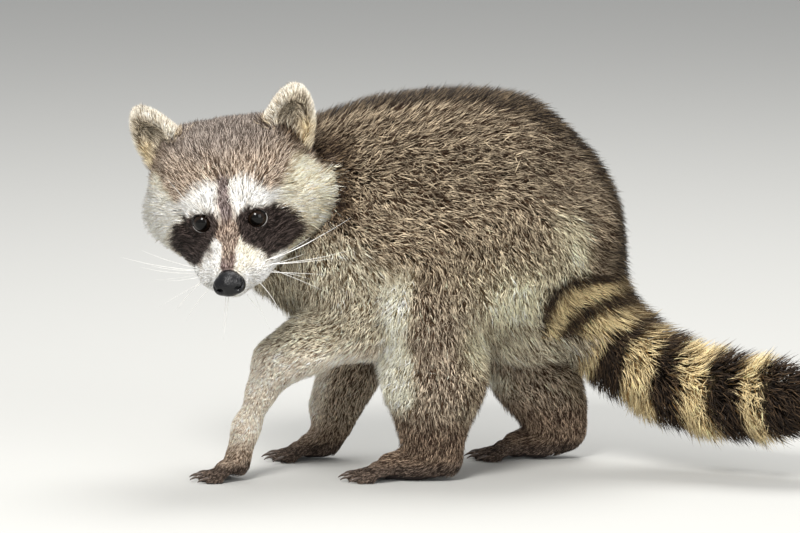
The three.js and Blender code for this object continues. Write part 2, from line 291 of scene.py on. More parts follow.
def lay_body():
    chain(BODY, "trunk", SPINE, 24, TRUNK_SLIM, (1, 0, -0.32))
    rows = [
        ((79, 4, 116), (56, 2, 112), (40, 46), 14, 22, 0.9, (0.7, 0, -0.75)),  # rump
        ((-68, 0, 124), (-20, 0, 120), (38, 42), 14, 20, 0.9, (0.6, 0, -0.8)),  # breast and belly
        ((-34, 0, 167), (-64, 0, 167), (71, 64), 13, 20, 0.62, (0.8, 0, -0.6)),  # shoulders
        ((-62, -2, 186), (-96, -12, 188), (42, 37), 12, 20, 0.85, (0.9, 0.2, -0.4)),  # nape
        ((-64, -2, 146), (-104, -14, 153), (42, 38), 14, 20, 0.85, (0.45, 0.1, -0.9)),  # throat
        ((-96, -12, 176), (-126, -40, 186), (42, 38), 12, 16, 1, (0.6, 0.5, -0.6)),
    ]
    for a, b, radii, coat, blend, slim, lie in rows:
        BODY.append(Mass("trunk", a, b, radii, (coat, coat), blend, slim, lie))
    chain(BODY, "tail", TAIL, 16, droop=0.55)
    for name, leg in LEGS.items():
        a, b, radii, coat = leg["thigh"]
        BODY.append(Mass(name, a, b, radii, coat, 22, LIMB_SLIM, (0.25, 0, -1)))
        chain(BODY, name, leg["shank"], 14, LIMB_SLIM)
        chain(BODY, name, leg["paw"], 8)


def lay_head():
    def add(a, b, radii, coat, blend, lie):
        HEAD.append(Mass("head", on_head(*a), on_head(*b), radii, coat, blend, lie=head_way(*lie)))

    add((-46, 0, 10), (-38, 0, 12), (43, 43), (7, 7), 12, (-1, 0, 0.1))  # cranium
    add((-58, 0, -8), (-40, 0, -10), (42, 40), (10, 9), 12, (-1, 0, -0.4))  # nape and jaw angle
    add((-14, 0, -14), (29, 0, -26), (26, 12.5), (2.6, 1.8), 12, (-1, 0, 0))  # muzzle
    add((-30, 0, -34), (22, 0, -35), (20, 7.5), (5, 2), 10, (-1, 0, -0.2))  # lower jaw
    for s in (LEFT, RIGHT):
        # cheek ruff, temple, crown beside the ear, whisker pad and brow
        add((-56, 40 * s, -8), (-31, 28 * s, -12), (25, 20), (11, 8), 14, (-0.8, 0.7 * s, -0.5))
        add((-50, 34 * s, 18), (-40, 32 * s, 6), (20, 20), (8, 6), 14, (-0.9, 0.4 * s, 0.1))
        add((-46, 22 * s, 28), (-36, 21 * s, 24), (25, 23), (8, 7), 8, (-1, 0.1 * s, 0.3))
        add((-14, 21 * s, -23), (17, 13 * s, -28), (12.5, 10.3), (2.6, 2), 8, (-1, 0.3 * s, -0.1))
        add((-7, 14 * s, 9), (-24, 21 * s, 18), (10, 16), (2.6, 3.5), 10, (-1, 0.1 * s, 0.5))


def toe_paths(leg):
    """Each toe's four points, its heading and its radius; the claw starts at its last point."""
    x, y, z, *_ = leg["paw"][-1]
    toes = leg["toes"]
    level = math.radians(toes["heading"])
    across = np.array([-math.sin(level), math.cos(level), 0])
    low = 0.4 * toes["radius"]
    for place in (-2, -1, 0, 1, 2):
        heading = math.radians(toes["heading"] + place * toes["spread"])
        ahead = np.array([math.cos(heading), math.sin(heading), 0])
        reach = toes["length"] * (1 - 0.07 * place * place)
        root = np.array([x, y, 0.0]) + across * place * toes["span"] / 4
        heights = (max(z, low + 1), low + toes["lift"], low + 0.5, low)
        shares = (0, 0.4, 0.75, 1)
        points = [root + ahead * share * reach + (0, 0, high) for share, high in zip(shares, heights)]
        yield points, ahead, toes["radius"]


def lay_toes():
    for name, leg in LEGS.items():
        for points, _, radius in toe_paths(leg):
            for a, b in zip(points, points[1:]):
                TOES.append(Mass(name, a, b, (radius, 0.92 * radius), (1, 1), 3))


# ---------------- the field: how far a point is outside the surface
def reached(points, masses, bare):
    """For each mass, the points it reaches and how far outside it they are."""
    for mass in masses:
        near = mass.near(points)
        if len(near):
            yield mass, near, mass.distance(points[near], bare)


def blended(points, masses, bare):
    total = np.full(len(points), FAR)
    for mass, near, away in reached(points, masses, bare):
        total[near] = smooth_min(total[near], away, mass.blend)
    return total


def ellipsoid(local, radii):
    scaled = lengths(local / radii)
    steep = lengths(local / np.square(radii))
    return scaled * (scaled - 1) / np.maximum(steep, 1e-6)


def ear_frame(side):
    up = head_way(-0.08, EAR_LEAN[side] * side, 1)
    face = head_way(1, 0.42 * side, 0)
    face = unit(face - up * (face @ up))
    centre = on_head(-EAR_BACK, EAR_SIDE * side, EAR_UP)
    return centre, np.stack([up, np.cross(face, up), face], axis=1)


def in_ear(points, side):
    """Points as (towards the tip, across, out of the face), from the ear's middle."""
    centre, axes = ear_frame(side)
    return (points - centre) @ axes


def ear_distance(points, side, bare):
    """A leaf-shaped cup: a flattened ball with a deep hollow in its face, and a rim that leans inwards."""
    local = in_ear(points, side)
    local[:, 1] /= 1 - EAR_TAPER * np.clip(local[:, 0] / (EAR_SIZE[0] / 2), -1.2, 1.2)
    coat = EAR_COAT * bare
    leaf = ellipsoid(local, EAR_SIZE / 2 - coat)
    cup = ellipsoid(local - (-2, 0, 0.62 * EAR_SIZE[2]), EAR_SIZE * (0.37, 0.34, 0.75) + coat)
    return smooth_max(leaf, -cup, 1.5)


def eye_frame(side):
    gaze = head_way(1, 0.13 * side, 0)
    across = unit(np.cross(head_way(0, 0, 1), gaze))
    centre = on_head(-EYE_BACK, EYE_SIDE * side, EYE_RISE[side])
    return centre, np.stack([gaze, across, np.cross(gaze, across)], axis=1)


def with_lids(total, points, side):
    """Wraps the eyeball in its lids and cuts the opening, which ends inside the eyeball."""
    centre, axes = eye_frame(side)
    near = np.flatnonzero(lengths(points - centre) < 3 * EYE_RADIUS)
    local = (points[near] - centre) @ axes
    lid = lengths(local) - (EYE_RADIUS + LID_THICKNESS)
    wrapped = smooth_min(total[near], lid, 5)
    wide, high = LID_OPENING
    opening = (np.hypot(local[:, 1] / wide, local[:, 2] / high) - 1) * high
    total[near] = smooth_max(wrapped, -np.maximum(opening, 1.5 - local[:, 0]), 0.7)
    return total


MOUTH_RADIUS = 1.3
MOUTH = [(33, 0, -38.5), (29, 5.5, -38.5), (17, 11, -38), (5, 14.5, -37), (-7, 18.5, -34)]


def with_mouth(total, points):
    head = in_head(points)
    head[:, 1] = np.abs(head[:, 1])
    near = np.flatnonzero((np.abs(head - (15, 10, -37)) < (30, 18, 12)).all(axis=1))
    groove = off_path(head[near], np.array(MOUTH)) - MOUTH_RADIUS
    total[near] = smooth_max(total[near], -groove, 1.2)
    return total


def coat_distance(points):
    total = np.minimum(blended(points, BODY, 0), blended(points, HEAD, 0))
    total = np.minimum(total, blended(points, TOES, 0))
    for side, _ in SIDES:
        total = np.minimum(total, ear_distance(points, side, 0))
    return total


def skin_distance(points):
    total = smooth_min(blended(points, BODY, 1), blended(points, HEAD, 1), 9)
    total = smooth_min(total, blended(points, TOES, 1), 2)
    for side, _ in SIDES:
        total = smooth_min(total, ear_distance(points, side, 1), 3)
        total = with_lids(total, points, side)
    total = with_mouth(total, points)
    return smooth_max(total, 0.35 - points[:, 2], 0.8)


def slope_of(distance, points, reach=0.4):
    """The distance and its gradient, from four corners of a small tetrahedron."""
    gradient = np.zeros_like(points)
    total = np.zeros(len(points))
    for corner in ((1, -1, -1), (-1, -1, 1), (-1, 1, -1), (1, 1, 1)):
        value = distance(points + np.array(corner) * reach)
        gradient += value[:, None] * np.array(corner)
        total += value
    return total / 4, gradient / (4 * reach)


# ---------------- the skin
VOXEL = 2.5


def surface(distance, low, high, voxel):
    """The surface of a distance function in a box, as points and quads."""
    low, high = np.array(low, float), np.array(high, float)
    counts = np.ceil((high - low) / voxel).astype(int) + 1
    axes = [low[i] + voxel * np.arange(counts[i]) for i in range(3)]
    points = np.stack(np.meshgrid(*axes, indexing="ij"), axis=-1).reshape(-1, 3)
    limit = 3 * voxel
    values = np.clip(distance(points), -limit, limit).reshape(counts).astype(np.float32)
    grid = openvdb.FloatGrid(limit)
    grid.copyFromArray(values)
    corners, quads = grid.convertToQuads(0.0)
    return low + np.array(corners, float) * voxel, np.array(quads)


def settle(points, distance, times=2):
    """Moves points onto the surface."""
    for _ in range(times):
        away, gradient = slope_of(distance, points)
        push = away[:, None] * gradient / np.maximum(dot(gradient, gradient), 0.3)
        points = points - np.clip(push, -1, 1)
    return points


def edit_mesh(mesh, *edits):
    bm = bmesh.new()
    bm.from_mesh(mesh)
    for edit in edits:
        edit(bm)
    bm.to_mesh(mesh)
    bm.free()


def halve_edges(chosen):
    """An edit that halves the edges whose two ends are both chosen."""

    def edit(bm):
        bm.verts.ensure_lookup_table()
        edges = [e for e in bm.edges if chosen[e.verts[0].index] and chosen[e.verts[1].index]]
        bmesh.ops.subdivide_edges(bm, edges=edges, cuts=1, use_grid_fill=True)

    return edit


def to_triangles(bm):
    bmesh.ops.triangulate(bm, faces=bm.faces[:])


def face_outwards(bm):
    bmesh.ops.recalc_face_normals(bm, faces=bm.faces[:])


def close_to(points, place, reach):
    """Which points lie within reach of a place in the head's frame."""
    return lengths(points - on_head(*place)) < reach


def fine_zone(points):
    """The head and the feet."""
    return close_to(points, (-30, 0, 5), 88) | (points[:, 2] < 34)


def finest_zone(points):
    """The nose and the lids."""
    zone = close_to(points, (36, 0, -30), 17)
    for side, _ in SIDES:
        zone |= close_to(points, (0, EYE_SIDE * side, 0), 13)
    return zone


def make_skin():
    corners, quads = surface(skin_distance, (-215, -135, -6), (285, 95, 262), VOXEL)
    mesh = bpy.data.meshes.new("skin")
    mesh.from_pydata(corners.tolist(), [], quads.tolist())
    for zone in (fine_zone, finest_zone):
        edit_mesh(mesh, halve_edges(zone(places(mesh))))
    points = settle(places(mesh), skin_distance)
    mesh.vertices.foreach_set("co", points.ravel())
    mesh.update()
    edit_mesh(mesh, to_triangles, face_outwards)
    return mesh


# ---------------- the lie of the coat
def lie_at(points, normals):
    """The way the hair points, along the skin. Round an ear it runs to the tip and off the rim."""
    way = np.zeros_like(points)
    for mass, near, away in reached(points, BODY + HEAD + TOES, 1):
        weight = np.exp(-np.clip(away + 6, -6, 60) / 4)
        way[near] += weight[:, None] * mass.lie
    way = unit(way)
    for side, _ in SIDES:
        centre, axes = ear_frame(side)
        local = (points - centre) @ axes
        on_ear = step(ear_distance(points, side, 1), 5, 0.5)[:, None]
        in_cup = step(local[:, 2:3], -2, 2)
        outwards = 0.05 * local[:, 1:2] + 0.5 * side * in_cup
        spread = axes[:, 0] + axes[:, 1] * outwards - axes[:, 2] * 0.3 * (1 - in_cup)
        way = way * (1 - on_ear) + unit(spread) * on_ear
    return unit(way - normals * dot(way, normals))


def part_at(points):
    """The name of the part that each point belongs to."""
    best = np.full(len(points), 99.0)
    names = np.full(len(points), "trunk", dtype="<U16")
    for mass, near, away in reached(points, BODY + HEAD + TOES, 1):
        closer = away < best[near]
        best[near[closer]] = away[closer]
        names[near[closer]] = mass.part
    for side, word in SIDES:
        on_ear = ear_distance(points, side, 1) < np.minimum(best, 1.5)
        names[on_ear] = f"ear_{word}"
    return names


# ---------------- markings
def tone(red, green, blue):
    """A colour given as it shows on a screen, 0 to 255, in the linear values that shaders take."""
    shown = np.array([red, green, blue]) / 255
    return np.where(shown <= 0.04045, shown / 12.92, ((shown + 0.055) / 1.055) ** 2.4)


# Each coat is (dark hairs, pale hairs, share of pale hairs), in colours as a screen shows them.
COATS = {
    "flank": ((66, 47, 31), (212, 194, 166), 0.52),
    "dorsal": ((36, 27, 20), (130, 112, 88), 0.22),
    "pale flank": ((106, 89, 57), (255, 246, 214), 0.79),
    "leg cream": ((164, 146, 108), (255, 250, 228), 0.88),
    "breast": ((100, 82, 56), (238, 227, 202), 0.66),
    "nape": ((44, 30, 20), (140, 118, 92), 0.25),
    "shank": ((76, 55, 38), (226, 208, 184), 0.54),
    "ankle": ((76, 58, 46), (186, 162, 138), 0.42),
    "forearm": ((166, 138, 110), (255, 242, 224), 0.86),
    "toes": ((62, 51, 44), (142, 124, 110), 0.35),
    "tail cream": ((126, 98, 58), (228, 208, 162), 0.78),
    "tail ring": ((34, 25, 18), (88, 70, 52), 0.27),
    "crown": ((88, 76, 67), (180, 167, 156), 0.42),
    "forehead": ((100, 82, 65), (214, 196, 177), 0.52),
    "white": ((232, 227, 218), (255, 254, 250), 0.78),
    "cream": ((204, 184, 146), (255, 247, 222), 0.82),
    "mask": ((32, 24, 20), (98, 85, 80), 0.33),
    "stripe": ((86, 72, 68), (178, 164, 160), 0.4),
    "bridge": ((100, 80, 68), (206, 186, 168), 0.48),
    "snout": ((88, 70, 66), (166, 146, 142), 0.38),
    "ear rim": ((204, 191, 166), (253, 249, 238), 0.8),
    "ear cup": ((66, 52, 38), (176, 162, 136), 0.42),
    "ear gold": ((132, 104, 60), (226, 208, 168), 0.6),
}


def coat_colours(name):
    dark, pale, share = COATS[name]
    return tone(*dark), tone(*pale), share


def inside(across, up, outline, blur):
    """1 inside a closed outline and 0 outside it, over a blurred edge."""
    ring = np.array(outline + outline[:1], float)
    away = off_path(np.stack([across, up], axis=1), ring)
    odd = np.zeros(len(up), bool)
    for a, b in zip(ring, ring[1:]):
        reach, rise = b - a
        crossed = (a[1] > up) != (b[1] > up)
        odd ^= crossed & (across < a[0] + (up - a[1]) * reach / (rise or 1e-9))
    return step(np.where(odd, away, -away), -blur, blur)


# Face outlines in the head frame, as (distance from the middle, height).
MASK = [(6.5, 3), (8, 9), (13, 10.8), (23, 8), (33, 3), (43, -7), (46, -20), (39, -29), (23, -22)]
MASK += [(14, -12), (8, -4)]
WHITE_BROW = [(5, 4), (4, 17), (4, 27), (10, 29), (18, 27), (25, 20), (33, 14), (43, 11), (53, 3)]
WHITE_BROW += [(56, -8), (48, -12), (44, -8), (33, 3), (23, 8), (13, 10.5), (8, 9)]
CHEEK = [(30, 9), (40, 16), (46, 27), (54, 35), (66, 26), (73, -4), (64, -27), (50, -35), (46, -22)]
CHEEK += [(43, -8), (34, 2)]
MUZZLE = [(4, -11), (8, -5), (14, -12), (22, -21.5), (33, -26), (30, -48), (0, -60), (0, -36), (7, -24)]


def face_marks(head, paint):
    """The face's pattern, with painted light on the right cheek. head holds points in the head frame, moved
    a little by noise for uneven edges.
    """
    x, y, z = head.T
    side = np.abs(y)
    crown = step(z, 34, 50)
    paint("forehead", np.ones(len(z)))
    paint("crown", crown)
    paint("cream", step(z, -22, -34) * step(x, -48, -30))
    behind = -66 + 0.9 * np.clip(z - 4, 0, 30)
    paint("nape", step(x, behind + 6, behind - 6) * step(z, 2, 16) * step(y, 24, 44))
    cheek = inside(side, z, CHEEK, 4.5) * step(x, behind, behind + 14)
    paint("cream", cheek)
    # painted light: only the right cheek gets more white, brightening the side that the lamps leave in
    # shade
    paint("white", 0.55 * cheek * step(y, -20, -36) * step(z, 30, 10))
    brow = inside(side, z, WHITE_BROW, 3.4) * step(x, -56, -40)
    paint("white", brow * (1 - 0.85 * step(side, 28, 42)))
    muzzle = inside(side, z, MUZZLE, 2) * step(x, -16, -6)
    paint("white", muzzle)
    paint("cream", 0.7 * muzzle * step(y, 2, 8) * step(z, -29, -13))
    middle = step(side, 5.2 - 0.05 * z, 3.0) * step(x, -22, -10)
    paint("stripe", middle * step(z, 36, 26) * step(z, -1, 5))
    bridge = np.interp(z, (-22, -13, -9, -3, 4), (6.5, 3.2, 4.6, 9.4, 7.6))
    top = step(side, bridge + 1.2, bridge - 1.2)
    faint = 1 - 0.5 * np.exp(-np.square((z + 13) / 4))
    paint("bridge", top * faint * step(z, 7, 1) * step(z, -24, -20) * step(x, -14, -7))
    paint("snout", top * step(z, -11, -17) * step(x, 22, 28) * step(z, -30, -26))
    paint("mask", inside(side, z, MASK, 1.4) * step(x, -48, -40))


def ear_marks(points, side, paint):
    up, across, face = in_ear(points, side).T
    outwards = across * side
    on_ear = step(ear_distance(points, side, 0), 4, 0)
    length, width, _ = EAR_SIZE
    radius = np.hypot(up / (length / 2), across / (width / 2))
    paint("ear rim", on_ear)
    paint("nape", on_ear * step(face, -1, -4) * step(radius, 0.8, 0.6))
    inner = np.hypot((up - 2.5) / (0.43 * length), (across + 1.2 * side) / (0.38 * width))
    paint("ear cup", on_ear * step(face, -4, -1) * step(inner, 1.12, 0.82))
    paint("ear gold", on_ear * step(outwards, -2, -9) * step(up, 12, 0) * 0.8)


def tail_place(points):
    """How far along the tail each point lies, and how high above its line."""
    best = np.full(len(points), 1e3)
    along = np.zeros(len(points))
    rise = np.zeros(len(points))
    passed = 0.0
    line = [np.array(station[:3], float) for station in TAIL]
    for i, (a, b) in enumerate(zip(line, line[1:])):
        way = b - a
        t = (points - a) @ way / (way @ way)
        t = np.clip(t, -2 if i == 0 else 0, 3 if i == len(line) - 2 else 1)
        spot = a + t[:, None] * way
        away = lengths(points - spot)
        closer = away < best
        best[closer] = away[closer]
        along[closer] = passed + t[closer] * np.linalg.norm(way)
        rise[closer] = (points - spot)[closer, 2]
        passed += np.linalg.norm(way)
    return along, rise


# Dark tail rings as (start, end) along the tail. Near its root, a ring's top and bottom sweep towards
# the tip; further along, the rings' tops lean towards the root.
RINGS = [(0, 7), (22, 37), (54, 75), (95, 117), (139, 161), (174, 270)]


def tail_marks(points, paint):
    along, rise = tail_place(points)
    sweep = np.interp(along, (20, 60, 90), (0.045, 0.026, 0)) * np.square(np.clip(rise, -15, 30))
    lean = np.interp(along, (30, 60, 95, 140, 180), (0, 0.15, 0.3, 0.16, 0.1)) * rise
    place = along - sweep + lean + 2 * wander(points, 14, 31)
    paint("tail cream", step(place, 3, 8))
    for start, end in RINGS:
        paint("tail ring", step(place, start - 2.5, start + 2) * step(place, end + 3, end - 2))
    paint("dorsal", 0.6 * step(rise, 16, 24) * step(along, 110, 60))


def trunk_marks(points, normals, paint):
    x, y, z = points.T
    paint("breast", step(x, -30, -62) * step(z, 172, 140))
    paint("breast", step(z, 108, 90) * step(normals[:, 2], -0.2, -0.7))
    back = step(np.abs(y + 0.12 * (x + 20)), 30, 14) * step(z, 205, 228)
    rump = step(np.abs(y - 3), 30, 15) * step(normals[:, 0], 0.3, 0.75) * step(z, 95, 118) * step(x, 60, 78)
    upper = 0.25 * step(z, 165, 205)
    paint("dorsal", np.maximum(np.maximum(back, rump), upper))
    nape = step(x, -48, -62) * step(x, -104, -88) * step(z, 150, 176) * step(z, 232, 214)
    paint("nape", nape * step(y, 24, -12))


# Pale streaks down the front of each thigh, as the sign of y and (x, z) places on that side.
STREAKS = [
    (-1, [(-25, 148), (-32, 122), (-37, 92), (-30, 58)]),
    (1, [(14, 148), (2, 118), (5, 88), (30, 56)]),
]


def streak_marks(points, paint):
    x, y, z = points.T
    hips = np.exp(-np.square((x - 50) / 27) - np.square((z - 112) / 28))
    paint("pale flank", 1.25 * hips * step(np.abs(y), 15, 35) * (0.85 + 0.15 * wander(points, 26, 11)))
    across = points[:, [0, 2]]
    for side, line in STREAKS:
        away = off_path(across, np.array(line, float))
        paint("leg cream", step(away, 18, 7) * step(y * side, 22, 38) * step(z, 152, 112))


def leg_marks(points, normals, name, paint):
    z = points[:, 2]
    front = step(normals[:, 0], -0.25, -0.7)
    if name.startswith("hind"):
        paint("shank", step(z, 140, 96) * step(normals[:, 0], 0.75, 0.3))
        paint("leg cream", front * step(z, 185, 150) * step(z, 36, 62))
        paint("pale flank", 0.8 * step(normals[:, 0], 0.3, 0.8) * step(z, 58, 84))
        paint("ankle", step(z, 46, 26))
    else:
        paint("breast", step(z, 170, 130))
        paint("forearm" if name.endswith("left") else "shank", step(z, 96, 74))
        paint("forearm", front * step(z, 84, 64))
        paint("ankle", 0.7 * step(z, 30, 16))
    paint("toes", step(z, 15, 7))


class Paint:
    """Dark hair, pale hair and the share of pale hair at each point, painted over layer by layer."""

    def __init__(self, count):
        dark, pale, share = coat_colours("flank")
        self.dark = np.tile(dark, (count, 1))
        self.pale = np.tile(pale, (count, 1))
        self.share = np.full(count, share)

    def on(self, chosen):
        def paint(name, cover):
            dark, pale, share = coat_colours(name)
            cover = np.clip(cover, 0, 1)
            self.dark[chosen] += (dark - self.dark[chosen]) * cover[:, None]
            self.pale[chosen] += (pale - self.pale[chosen]) * cover[:, None]
            self.share[chosen] += (share - self.share[chosen]) * cover

        return paint


def marks_at(points, normals, parts):
    """The coat's pattern, with the face's painted light on one cheek, by the place where the hair shows."""
    paint = Paint(len(points))
    everywhere = np.arange(len(points))
    trunk_marks(points, normals, paint.on(everywhere))
    for name in LEGS:
        chosen = np.flatnonzero(parts == name)
        leg_marks(points[chosen], normals[chosen], name, paint.on(chosen))
    body = np.flatnonzero((parts == "trunk") | np.char.startswith(parts, "hind"))
    streak_marks(points[body], paint.on(body))
    rump = (points[:, 0] > 66) & (points[:, 2] > 88) & (points[:, 2] < 150)
    rump &= points[:, 1] < 24 + 7 * wander(points, 9, 51)
    behind = np.flatnonzero((parts == "tail") | rump)
    tail_marks(points[behind], paint.on(behind))
    face = np.flatnonzero(parts == "head")
    head = in_head(points[face])
    head[:, 1] += 1.1 * wander(points[face], 7, 41)
    head[:, 2] += 1.1 * wander(points[face], 7, 42)
    face_marks(head, paint.on(face))
    for side, word in SIDES:
        chosen = np.flatnonzero(parts == f"ear_{word}")
        ear_marks(points[chosen], side, paint.on(chosen))
    return paint


# ---------------- the coat
TUFTS_PER_PIECE = 32000
TUFT_DENSITY = 3.6  # tufts to a square millimetre, before the coat's depth thins them
DEEP_COAT_THINNING = 0.17
LEADER_SHARE = 0.07  # one tuft in 14 leads a lock
COWLICK_SHARE = 0.06  # tufts that point their own way
UNDERCOAT_SHARE, STRAY_SHARE = 0.2, 0.05
THINNING = 1.0
TUFT_WIDTH, DEEP_COAT_WIDENING = 0.36, 0.023
ROOT_DEPTH = 0.4  # how far each tuft starts inside the skin


def is_bare(points, normals):
    """Eyeballs, the nose pad and the soles grow no hair."""
    bare = (points[:, 2] < 5) & (normals[:, 2] < -0.5)
    for side, _ in SIDES:
        centre, axes = eye_frame(side)
        bare |= lengths(points - centre) < EYE_RADIUS + 0.55
    return bare | (nose_distance(points) < 0.3)


def tufts_per_mm2(points, normals):
    room = np.clip(-coat_distance(points), 0.8, 20)
    density = TUFT_DENSITY / (1 + DEEP_COAT_THINNING * room) * THINNING
    return np.where(is_bare(points, normals), 0, density)


def sow(mesh):
    """Roots spread evenly over the skin by area and thickness of coat, and the skin's normal at each."""
    points = places(mesh)
    a, b, c = (points[corner] for corner in triangles_of(mesh).T)
    cross = np.cross(b - a, c - a)
    area = lengths(cross) / 2
    normals = unit(cross)
    total = (area * tufts_per_mm2((a + b + c) / 3, normals)).cumsum()
    count = int(total[-1])
    marks = np.arange(count) + RANDOM.random(count)
    face = np.clip(np.searchsorted(total, marks), 0, len(area) - 1)
    u, v = RANDOM.random((2, count))
    over = u + v > 1
    u[over], v[over] = 1 - u[over], 1 - v[over]
    roots = a[face] + u[:, None] * (b - a)[face] + v[:, None] * (c - a)[face]
    return roots, normals[face]


def crosses_eye(points, side):
    centre, axes = eye_frame(side)
    local = (points - centre) @ axes
    wide, high = LID_OPENING
    return (local[:, 0] > 0) & (np.hypot(local[:, 1] / wide, local[:, 2] / high) < 1.05)


def bend_to_leaders(knees, tips, strength):
    """Draws each tip towards that of the nearest leading tuft, so that the coat falls in locks."""
    leaders = np.flatnonzero(RANDOM.random(len(knees)) < LEADER_SHARE)
    tree = KDTree(len(leaders))
    for i, knee in enumerate(knees[leaders]):
        tree.insert(knee, i)
    tree.balance()
    led_by = leaders[[tree.find(knee)[1] for knee in knees]]
    pull = tips[led_by] - tips
    gap = lengths(pull)
    strength = strength * step(gap, 14, 6)
    return tips + pull * strength[:, None], led_by


class Coat:
    """Every tuft's root, knee, tip, width and colours."""

    def __init__(self, mesh):
        self.root, self.normal = sow(mesh)
        count = len(self.root)
        self.part = part_at(self.root)
        self.room = np.clip(-coat_distance(self.root), 0.8, 21)
        self.place_tips(count)
        self.colour(count)

    def tangled_lie(self, count):
        """The lie of the coat at each root, turned a little about the skin's normal."""
        swirl = np.interp(self.room, (2, 7, 12), (0.16, 0.36, 0.46)) * RANDOM.normal(size=count)
        swirl += 0.2 * wander(self.root, 15, 21)
        swirl += 0.6 * (RANDOM.random(count) < COWLICK_SHARE) * RANDOM.normal(size=count)
        lie = lie_at(self.root, self.normal)
        return lie * np.cos(swirl)[:, None] + np.cross(self.normal, lie) * np.sin(swirl)[:, None]

    def heights(self, count):
        """How much of the coat's depth each tuft rises through, and which tufts are undercoat."""
        share = RANDOM.uniform(0.82, 1.06, count)
        under = RANDOM.random(count) < UNDERCOAT_SHARE
        share[under] = RANDOM.uniform(0.4, 0.75, under.sum())
        stray = RANDOM.random(count) < STRAY_SHARE
        share[stray] = RANDOM.uniform(1.08, 1.22, stray.sum())
        return share, under

    def place_tips(self, count):
        """Each tuft rises steeply from its root, bends back and ends near the coat's surface."""
        lie = self.tangled_lie(count)
        share, under = self.heights(count)
        on_ear = np.char.startswith(self.part, "ear")
        ahead = np.interp(self.room, (1, 6, 14, 20), (2.6, 7.4, 11.6, 14.5)) + 3 * on_ear
        ahead *= RANDOM.uniform(0.7, 1.25, count)
        rise = self.room * share
        self.knee = self.root + lie * (0.38 * ahead)[:, None] + self.normal * (0.6 * rise)[:, None]
        tip = self.root + lie * ahead[:, None] + self.normal * (0.9 * rise)[:, None]
        excess = coat_distance(tip) + self.room * (1 - share) - 2.4 * on_ear
        length = np.hypot(ahead, rise)
        tip -= self.normal * np.clip(excess, -0.4 * length, 0.4 * length)[:, None]
        strength = np.interp(self.room, (2, 6, 14), (0.08, 0.18, 0.25))
        self.tip, self.leader = bend_to_leaders(self.knee, tip, strength)
        for points in (self.knee, self.tip):
            points[:, 2] = np.maximum(points[:, 2], 0.25)
        self.width = (TUFT_WIDTH + DEEP_COAT_WIDENING * self.room) * RANDOM.uniform(0.65, 1.25, count)
        self.width[under] *= 1.2
        self.clear_eyes()

    def clear_eyes(self):
        """Tufts that would lie across an eye are drawn back to their roots."""
        for side, _ in SIDES:
            for _ in range(2):
                near = np.flatnonzero(crosses_eye(self.tip, side) | crosses_eye(self.knee, side))
                self.knee[near] = 0.5 * (self.root + self.knee)[near]
                self.tip[near] = 0.5 * (self.root + self.tip)[near]

    def colour(self, count):
        share = RANDOM.uniform(0.5, 1, count)[:, None]
        paint = marks_at(self.knee + share * (self.tip - self.knee), self.normal, self.part)
        pale = RANDOM.random(count) < paint.share
        main = np.where(pale[:, None], paint.pale, paint.dark)
        lock = RANDOM.normal(size=count)[self.leader]
        light = np.exp(0.16 * RANDOM.normal(size=count) + 0.1 * lock)[:, None]
        main = main * light
        chance = np.where(pale, 0.5 * step(paint.share, 0.8, 0.6), 0.2) * step(self.room, 5, 9)
        tipped = RANDOM.random(count) < chance
        other = np.where(pale[:, None], paint.dark, 0.9 * paint.pale)
        end = np.where(tipped[:, None], other, np.where(pale[:, None], 1.08, 0.85) * main)
        start = 0.55 * paint.dark + 0.2 * main
        self.colours = np.clip(np.stack([start, main, main, main, end], axis=1), 0, 1)


def unwrap(points, part):
    """Where each point lies on the part's skin, opened out flat: round it and along it."""
    if part == "head":
        local = in_head(points) + (40, 0, 0)
        u, v = np.arctan2(local[:, 1], local[:, 2]), np.arccos(unit(local)[:, 0])
    elif part.startswith("ear"):
        local = in_ear(points, LEFT if part.endswith("left") else RIGHT)
        u, v = local[:, 1] + np.where(local[:, 2] > 0, EAR_SIZE[1], 0), local[:, 0]
    elif part == "tail":
        v, rise = tail_place(points)
        u = np.arctan2(rise, points[:, 1] + 0.3 * (points[:, 0] - 120))
    elif part in LEGS:
        x, y, *_ = LEGS[part]["shank"][1]
        foot = LEGS[part]["paw"][-1][0]
        u = np.arctan2(points[:, 1] - y, points[:, 0] - np.interp(points[:, 2], (10, 60), (foot, x)))
        v = -points[:, 2] - step(points[:, 2], 24, 12) * (points[:, 0] - foot)
    else:
        u, v = np.arctan2(points[:, 1], points[:, 2] - 155), points[:, 0]
    return u, v


# Each tuft is a small patch on the OFBake map, whose sides are 1 long.
PATCH = 0.003
MAP_MARGIN = 0.004


def spread(values):
    """Values moved and scaled to fill the map from margin to margin."""
    low, high = values.min(), values.max()
    return MAP_MARGIN + (1 - 2 * MAP_MARGIN) * (values - low) / max(high - low, 1e-6)


# A tuft's corners are its root, left, right, ridge and tip.
PATCH_SHAPE = np.array([(0, -0.5), (-0.5, 0), (0.5, 0), (0.06, 0.14), (0, 0.5)])
TUFT_FACES = np.array([(0, 3, 1), (0, 2, 3), (0, 1, 2), (4, 1, 3), (4, 3, 2), (4, 2, 1)])


def mesh_of(name, points, triangles, colours=None, uv=None):
    """A mesh straight from arrays; uv holds one place for each point."""
    mesh = bpy.data.meshes.new(name)
    mesh.vertices.add(len(points))
    mesh.vertices.foreach_set("co", to_frame(points).ravel())
    mesh.loops.add(triangles.size)
    mesh.loops.foreach_set("vertex_index", triangles.ravel())
    mesh.polygons.add(len(triangles))
    mesh.polygons.foreach_set("loop_start", np.arange(0, triangles.size, 3))
    if uv is not None:
        mesh.uv_layers.new(name="OFBake").data.foreach_set("uv", uv[triangles.ravel()].ravel())
    if colours is not None:
        layer = mesh.color_attributes.new("coat", "FLOAT_COLOR", "POINT")
        layer.data.foreach_set("color", np.hstack([colours, np.ones((len(colours), 1))]).ravel())
    mesh.update(calc_edges=True)
    mesh.validate()
    mesh.shade_smooth()
    return mesh


